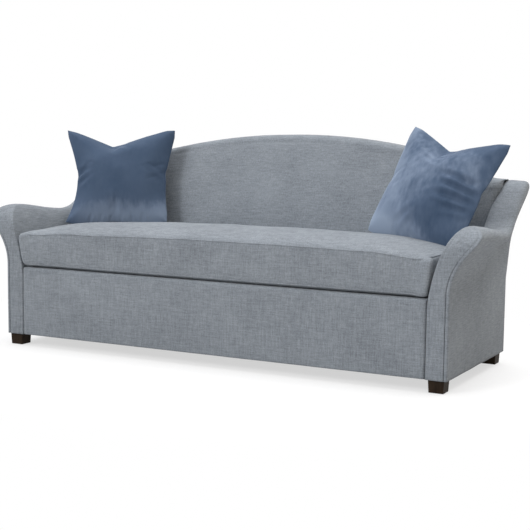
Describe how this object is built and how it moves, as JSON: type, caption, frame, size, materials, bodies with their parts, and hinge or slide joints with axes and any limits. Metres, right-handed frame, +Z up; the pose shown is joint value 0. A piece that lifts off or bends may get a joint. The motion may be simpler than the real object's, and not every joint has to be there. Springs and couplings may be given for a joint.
{
  "type": "camelback sofa",
  "caption": "Three-seat sofa with a camel-shaped tight back, outward-flared arms, a loose bench seat cushion and loose velvet pillows on low block feet.",
  "frame": {"origin": "centre of the sofa's footprint box on the floor", "axes": "+X to the right across the width, -Y towards the front, +Z up"},
  "size_m": [2.2098, 0.89, 0.9614],
  "materials": {
    "linen": "matte",
    "velvet": "soft",
    "lining": "matte",
    "dust_cloth": "matte",
    "foam": "matte",
    "wadding": "matte",
    "filling": "matte",
    "webbing": "matte",
    "timber": "matte",
    "foot_wood": "satin",
    "spring_steel": "satin",
    "bolt_steel": "satin",
    "glide": "matte",
    "zip_tape": "matte",
    "zip_metal": "satin"
  },
  "bodies": {
    "frame": {"outside_back": "linen", "inside_back_cover": "linen", "front_rail_cover": "linen", "deck_cloth": "lining", "dust_cover": "dust_cloth", "inside_back_pad": "wadding", "front_rail_pad": "wadding", "seat_deck_pad": "foam", "front_rail": "timber", "rear_rail": "timber", "seat_stretchers": "timber", "corner_blocks": "timber", "back_uprights": "timber", "back_top_rail": "timber", "back_lower_rail": "timber", "back_webbing": "webbing", "seat_springs": "spring_steel", "spring_clips": "spring_steel", "foot_bolts": "bolt_steel", "foot_glides": "glide", "left_front_foot": "foot_wood", "left_rear_foot": "foot_wood", "right_front_foot": "foot_wood", "right_rear_foot": "foot_wood", "left_arm_cover": "linen", "left_arm_facing": "linen", "left_arm_pad": "wadding", "left_arm_front_board": "timber", "left_front_post": "timber", "left_back_post": "timber", "left_side_rail": "timber", "left_arm_tack_rail": "timber", "left_arm_top_rail": "timber", "left_back_stile": "timber", "right_arm_cover": "linen", "right_arm_facing": "linen", "right_arm_pad": "wadding", "right_arm_front_board": "timber", "right_front_post": "timber", "right_back_post": "timber", "right_side_rail": "timber", "right_arm_tack_rail": "timber", "right_arm_top_rail": "timber", "right_back_stile": "timber"},
    "seat_cushion": {"seat_cushion_cover": "linen", "seat_cushion_core": "foam", "zip_tape": "zip_tape", "zip_coil": "zip_metal"},
    "zip_slider": {"zip_slider": "zip_metal"},
    "left_pillow": {"left_pillow_cover": "velvet", "left_pillow_insert": "filling"},
    "right_pillow": {"right_pillow_cover": "velvet", "right_pillow_insert": "filling"}
  },
  "joints": [
    {"name": "cushion_lift", "type": "slide", "parent": "frame", "child": "seat_cushion", "axis": [0, 0, 1], "range_m": [0, 0.3]},
    {"name": "left_pillow_lift", "type": "slide", "parent": "seat_cushion", "child": "left_pillow", "axis": [0, 0, 1], "range_m": [0, 0.25]},
    {"name": "right_pillow_lift", "type": "slide", "parent": "seat_cushion", "child": "right_pillow", "axis": [0, 0, 1], "range_m": [0, 0.25]},
    {"name": "zip_slide", "type": "slide", "parent": "seat_cushion", "child": "zip_slider", "axis": [1, 0, 0], "range_m": [0, 1.472]}
  ]
}
